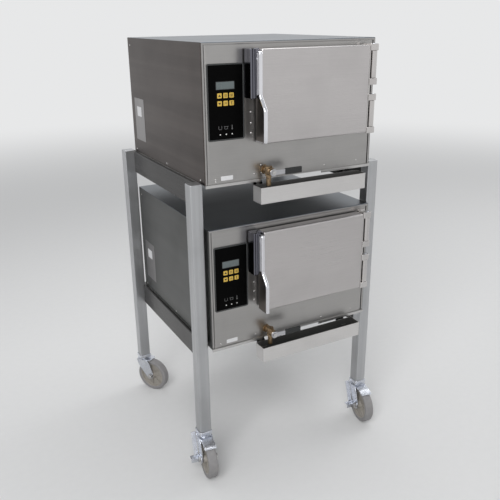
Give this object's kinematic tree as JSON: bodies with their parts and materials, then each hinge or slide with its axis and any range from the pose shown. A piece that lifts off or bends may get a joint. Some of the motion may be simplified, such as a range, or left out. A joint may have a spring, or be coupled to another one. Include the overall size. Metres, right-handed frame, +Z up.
{
  "type": "electric convection steamer",
  "caption": "Two stacked stainless electric steamers with latched doors, drain valves and drip troughs, on an open four-legged stand with swivel casters.",
  "frame": {"origin": "on the floor, in the middle of the footprint", "axes": "+Z up; -Y is the front, where the doors are; +X is to the right seen from the front, the doors' hinge side"},
  "size_m": [0.7265, 0.7783, 1.3348],
  "materials": {
    "brushed_steel": "brushed",
    "front_steel": "brushed",
    "leg_steel": "satin",
    "chrome": "polished",
    "zinc": "zinc plated",
    "tyre_and_hub": "matte",
    "black_silicone": "matte",
    "black_panel": "semi-gloss",
    "brass": "cast"
  },
  "bodies": {
    "stand_and_cabinets": {"leg_front_left": "leg_steel", "caster_socket_front_left": "zinc", "leg_front_right": "leg_steel", "caster_socket_front_right": "zinc", "leg_back_left": "leg_steel", "caster_socket_back_left": "zinc", "leg_back_right": "leg_steel", "caster_socket_back_right": "zinc", "upper_rail_left": "leg_steel", "upper_rail_right": "leg_steel", "upper_rail_back": "leg_steel", "upper_casing": "brushed_steel", "upper_front_panel": "front_steel", "upper_base_pan": "brushed_steel", "upper_back_panel": "brushed_steel", "upper_cooking_chamber": "brushed_steel", "upper_pan_rack": "brushed_steel", "upper_hinge_post": "brushed_steel", "upper_latch_strike": "zinc", "upper_control_panel": "black_panel", "upper_drain_valve": "brass", "upper_drip_trough": "front_steel", "lower_rail_left": "leg_steel", "lower_rail_right": "leg_steel", "lower_rail_back": "leg_steel", "lower_casing": "brushed_steel", "lower_front_panel": "front_steel", "lower_base_pan": "brushed_steel", "lower_back_panel": "brushed_steel", "lower_cooking_chamber": "brushed_steel", "lower_pan_rack": "brushed_steel", "lower_hinge_post": "brushed_steel", "lower_latch_strike": "zinc", "lower_control_panel": "black_panel", "lower_drain_valve": "brass", "lower_drip_trough": "front_steel"},
    "upper_door": {"upper_door_shell": "front_steel", "upper_door_liner": "brushed_steel", "upper_door_gasket": "black_silicone", "upper_hinge_strap": "chrome", "upper_latch_housing": "chrome"},
    "upper_handle": {"upper_door_handle": "chrome"},
    "upper_lever": {"upper_valve_lever": "brushed_steel"},
    "lower_door": {"lower_door_shell": "front_steel", "lower_door_liner": "brushed_steel", "lower_door_gasket": "black_silicone", "lower_hinge_strap": "chrome", "lower_latch_housing": "chrome"},
    "lower_handle": {"lower_door_handle": "chrome"},
    "lower_lever": {"lower_valve_lever": "brushed_steel"},
    "fork_front_left": {"caster_fork_front_left": "zinc"},
    "wheel_front_left": {"caster_wheel_front_left": "tyre_and_hub"},
    "pedal_front_left": {"brake_pedal_front_left": "zinc"},
    "fork_front_right": {"caster_fork_front_right": "zinc"},
    "wheel_front_right": {"caster_wheel_front_right": "tyre_and_hub"},
    "pedal_front_right": {"brake_pedal_front_right": "zinc"},
    "fork_back_left": {"caster_fork_back_left": "zinc"},
    "wheel_back_left": {"caster_wheel_back_left": "tyre_and_hub"},
    "fork_back_right": {"caster_fork_back_right": "zinc"},
    "wheel_back_right": {"caster_wheel_back_right": "tyre_and_hub"}
  },
  "joints": [
    {"name": "upper_door_swing", "type": "hinge", "parent": "stand_and_cabinets", "child": "upper_door", "pos_m": [0.2575, -0.32872, 1.1888], "axis": [0, 0, 1], "range_deg": [0, 180]},
    {"name": "upper_handle_pull", "type": "hinge", "parent": "upper_door", "child": "upper_handle", "pos_m": [-0.1345, -0.33572, 1.2908], "axis": [-1, 0, 0], "range_deg": [0, 20], "stiffness_Nm_per_rad": 0.8},
    {"name": "upper_valve_turn", "type": "hinge", "parent": "stand_and_cabinets", "child": "upper_lever", "pos_m": [-0.097, -0.35322, 0.9813], "axis": [0, 1, 0], "range_deg": [0, 90]},
    {"name": "lower_door_swing", "type": "hinge", "parent": "stand_and_cabinets", "child": "lower_door", "pos_m": [0.2575, -0.33832, 0.6803], "axis": [0, 0, 1], "range_deg": [0, 180]},
    {"name": "lower_handle_pull", "type": "hinge", "parent": "lower_door", "child": "lower_handle", "pos_m": [-0.1345, -0.34532, 0.7823], "axis": [-1, 0, 0], "range_deg": [0, 20], "stiffness_Nm_per_rad": 0.8},
    {"name": "lower_valve_turn", "type": "hinge", "parent": "stand_and_cabinets", "child": "lower_lever", "pos_m": [-0.097, -0.36282, 0.4728], "axis": [0, 1, 0], "range_deg": [0, 90]},
    {"name": "swivel_front_left", "type": "hinge", "parent": "stand_and_cabinets", "child": "fork_front_left", "pos_m": [-0.30955, -0.27267, 0.13], "axis": [0, 0, 1], "continuous": true},
    {"name": "roll_front_left", "type": "hinge", "parent": "fork_front_left", "child": "wheel_front_left", "pos_m": [-0.31477, -0.31233, 0.0622], "axis": [0.9914, -0.1305, 0], "continuous": true},
    {"name": "brake_front_left", "type": "hinge", "parent": "fork_front_left", "child": "pedal_front_left", "pos_m": [-0.31477, -0.31233, 0.0622], "axis": [-0.9914, 0.1305, 0], "range_deg": [0, 25]},
    {"name": "swivel_front_right", "type": "hinge", "parent": "stand_and_cabinets", "child": "fork_front_right", "pos_m": [0.30955, -0.27267, 0.13], "axis": [0, 0, 1], "continuous": true},
    {"name": "roll_front_right", "type": "hinge", "parent": "fork_front_right", "child": "wheel_front_right", "pos_m": [0.30329, -0.31218, 0.0622], "axis": [0.9877, -0.1564, 0], "continuous": true},
    {"name": "brake_front_right", "type": "hinge", "parent": "fork_front_right", "child": "pedal_front_right", "pos_m": [0.30329, -0.31218, 0.0622], "axis": [-0.9877, 0.1564, 0], "range_deg": [0, 25]},
    {"name": "swivel_back_left", "type": "hinge", "parent": "stand_and_cabinets", "child": "fork_back_left", "pos_m": [-0.30955, 0.29333, 0.13], "axis": [0, 0, 1], "continuous": true},
    {"name": "roll_back_left", "type": "hinge", "parent": "fork_back_left", "child": "wheel_back_left", "pos_m": [-0.28632, 0.26077, 0.0622], "axis": [0.8141, 0.5807, 0], "continuous": true},
    {"name": "swivel_back_right", "type": "hinge", "parent": "stand_and_cabinets", "child": "fork_back_right", "pos_m": [0.30955, 0.29333, 0.13], "axis": [0, 0, 1], "continuous": true},
    {"name": "roll_back_right", "type": "hinge", "parent": "fork_back_right", "child": "wheel_back_right", "pos_m": [0.3255, 0.33001, 0.0622], "axis": [-0.9171, 0.3987, 0], "continuous": true}
  ]
}
